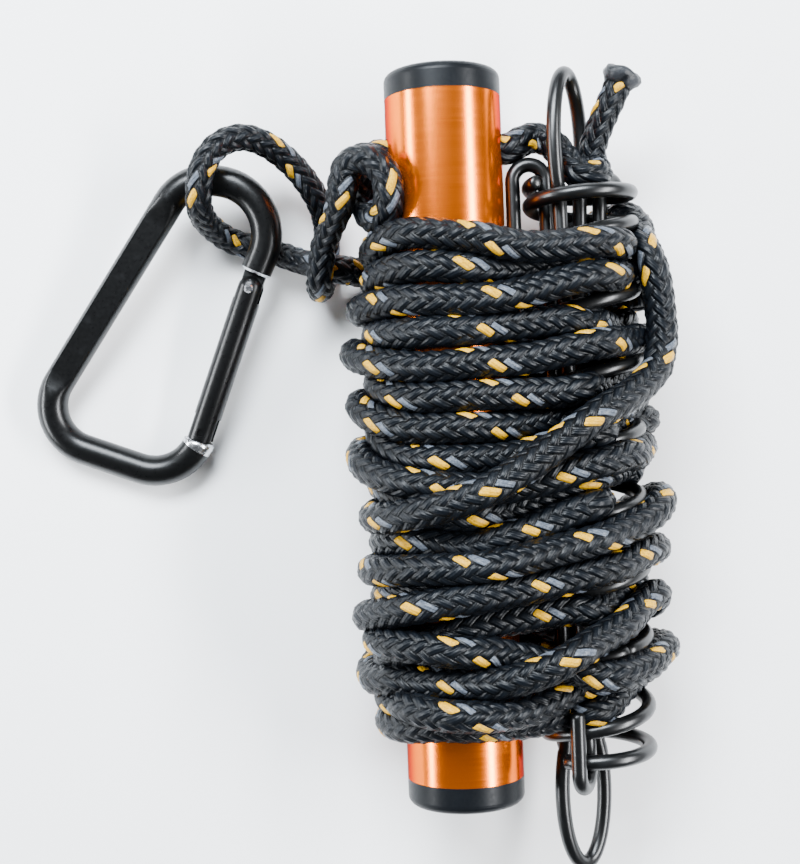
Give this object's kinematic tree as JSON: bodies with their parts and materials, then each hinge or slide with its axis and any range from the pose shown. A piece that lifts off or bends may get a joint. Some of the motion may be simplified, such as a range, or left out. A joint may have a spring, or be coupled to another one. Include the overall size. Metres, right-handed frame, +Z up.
{
  "type": "magnet fishing magnet",
  "caption": "Tubular retrieving magnet and a coil drawbar spring, lashed together by a braided rope that ends in a loop through a snap carabiner.",
  "frame": {"origin": "centre of the tube's lower end face, on the tube's axis", "axes": "+Y along the tube towards the roped end, +Z up from the surface it lies on, +X from the tube towards the drawbar spring"},
  "size_m": [0.1503, 0.1845, 0.0479],
  "materials": {
    "anodised_tube": "satin orange anodised aluminium",
    "cap_rubber": "matte moulded charcoal",
    "seal_rubber": "matte",
    "magnet_nickel": "bright nickel plate",
    "pole_steel": "ground steel",
    "plug_aluminium": "turned",
    "coated_wire": "black satin coated spring wire",
    "black_anodised": "black satin anodised aluminium",
    "bright_steel": "bright",
    "braided_rope": "black braid with amber and reflective grey flecks",
    "melted_end": "heat-melted rope end"
  },
  "bodies": {
    "magnet": {"tube": "anodised_tube", "upper_cap": "cap_rubber", "lower_cap": "cap_rubber", "upper_seal": "seal_rubber", "lower_seal": "seal_rubber", "magnets": "magnet_nickel", "pole_discs": "pole_steel", "stack_plug": "plug_aluminium", "drawbar_spring": "coated_wire", "rope_winding": "braided_rope", "rope_loop": "braided_rope", "stopper_knot": "braided_rope", "rope_lead": "braided_rope", "eye_knot": "braided_rope", "rope_tail": "braided_rope", "tail_seal": "melted_end"},
    "upper_drawbar": {"upper_drawbar": "coated_wire"},
    "lower_drawbar": {"lower_drawbar": "coated_wire"},
    "carabiner": {"carabiner_body": "black_anodised", "hinge_rivet": "bright_steel"},
    "gate": {"gate": "black_anodised", "nose_pin": "bright_steel", "gate_plunger": "bright_steel", "gate_spring": "bright_steel"}
  },
  "joints": [
    {"name": "upper_drawbar_slide", "type": "slide", "parent": "magnet", "child": "upper_drawbar", "axis": [0, 1, 0], "range_m": [0, 0.005], "deforming": ["drawbar_spring"]},
    {"name": "lower_drawbar_slide", "type": "slide", "parent": "magnet", "child": "lower_drawbar", "axis": [0, -1, 0], "range_m": [0, 0.004], "deforming": ["drawbar_spring"]},
    {"name": "carabiner_lift", "type": "hinge", "parent": "magnet", "child": "carabiner", "pos_m": [-0.0536, 0.1455, -0.0111], "axis": [-0.9898, 0.1394, -0.0299], "range_deg": [0, 70]},
    {"name": "gate_hinge", "type": "hinge", "parent": "carabiner", "child": "gate", "pos_m": [-0.0466, 0.1201, -0.0138], "axis": [0.0466, 0.1182, -0.9919], "range_deg": [0, 26], "stiffness_Nm_per_rad": 0.03, "springref_deg": -17.19}
  ]
}
